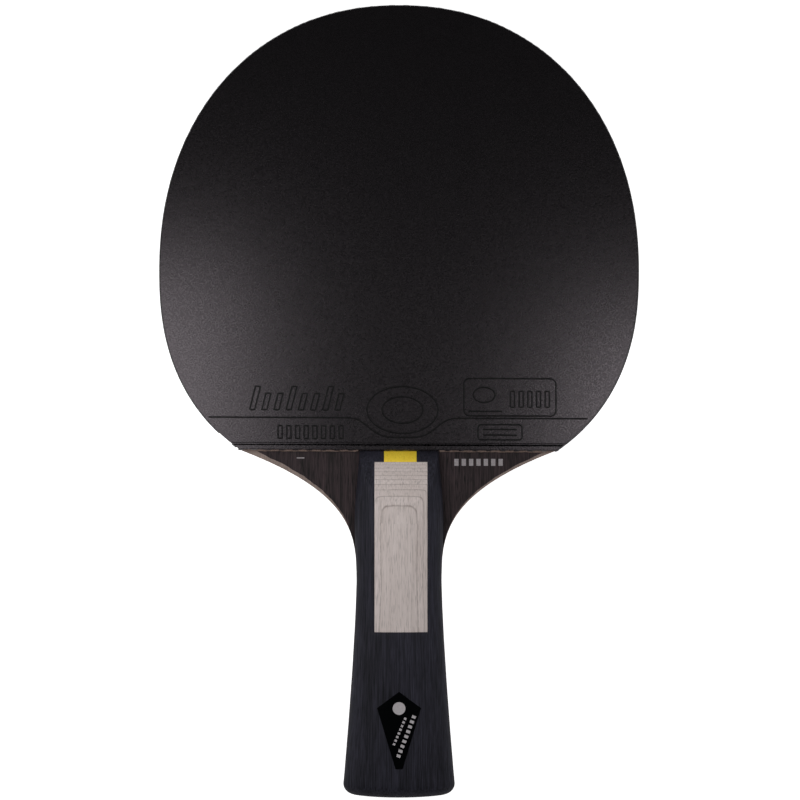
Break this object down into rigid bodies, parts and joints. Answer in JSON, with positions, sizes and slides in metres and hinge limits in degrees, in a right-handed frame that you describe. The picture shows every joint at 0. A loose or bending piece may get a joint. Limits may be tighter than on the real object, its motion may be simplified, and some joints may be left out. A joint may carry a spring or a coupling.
{
  "type": "table tennis paddle",
  "caption": "Shakehand table tennis paddle: layered wooden blade, black rubbers with sponge on both faces, taped edge and a flared laminated handle.",
  "frame": {"origin": "under the middle of the paddle's length and width, at the height of the lowest line of the rear handle scale", "axes": "+Z out of the front face, +Y from the butt of the handle to the tip of the head, +X across"},
  "size_m": [0.152, 0.2506, 0.024],
  "materials": {
    "core_wood": "matte",
    "middle_wood": "matte",
    "stained_veneer": "satin",
    "glue_film": "satin",
    "sponge": "matte",
    "topsheet": "satin",
    "edge_tape": "satin",
    "dyed_wood": "satin",
    "pale_wood": "satin",
    "yellow_wood": "satin",
    "badge": "gloss"
  },
  "bodies": {
    "root": {"core_ply": "core_wood", "front_middle_ply": "middle_wood", "rear_middle_ply": "middle_wood", "front_face_ply": "stained_veneer", "rear_face_ply": "stained_veneer", "front_glue_film": "glue_film", "rear_glue_film": "glue_film", "front_sponge": "sponge", "rear_sponge": "sponge", "front_topsheet": "topsheet", "rear_topsheet": "topsheet", "edge_tape": "edge_tape", "front_handle_scale": "dyed_wood", "rear_handle_scale": "dyed_wood", "front_inlay": "pale_wood", "rear_inlay": "pale_wood", "front_end_blocks": "dyed_wood", "rear_end_blocks": "dyed_wood", "front_end_tab": "yellow_wood", "rear_end_tab": "yellow_wood", "handle_badge": "badge"}
  },
  "joints": []
}
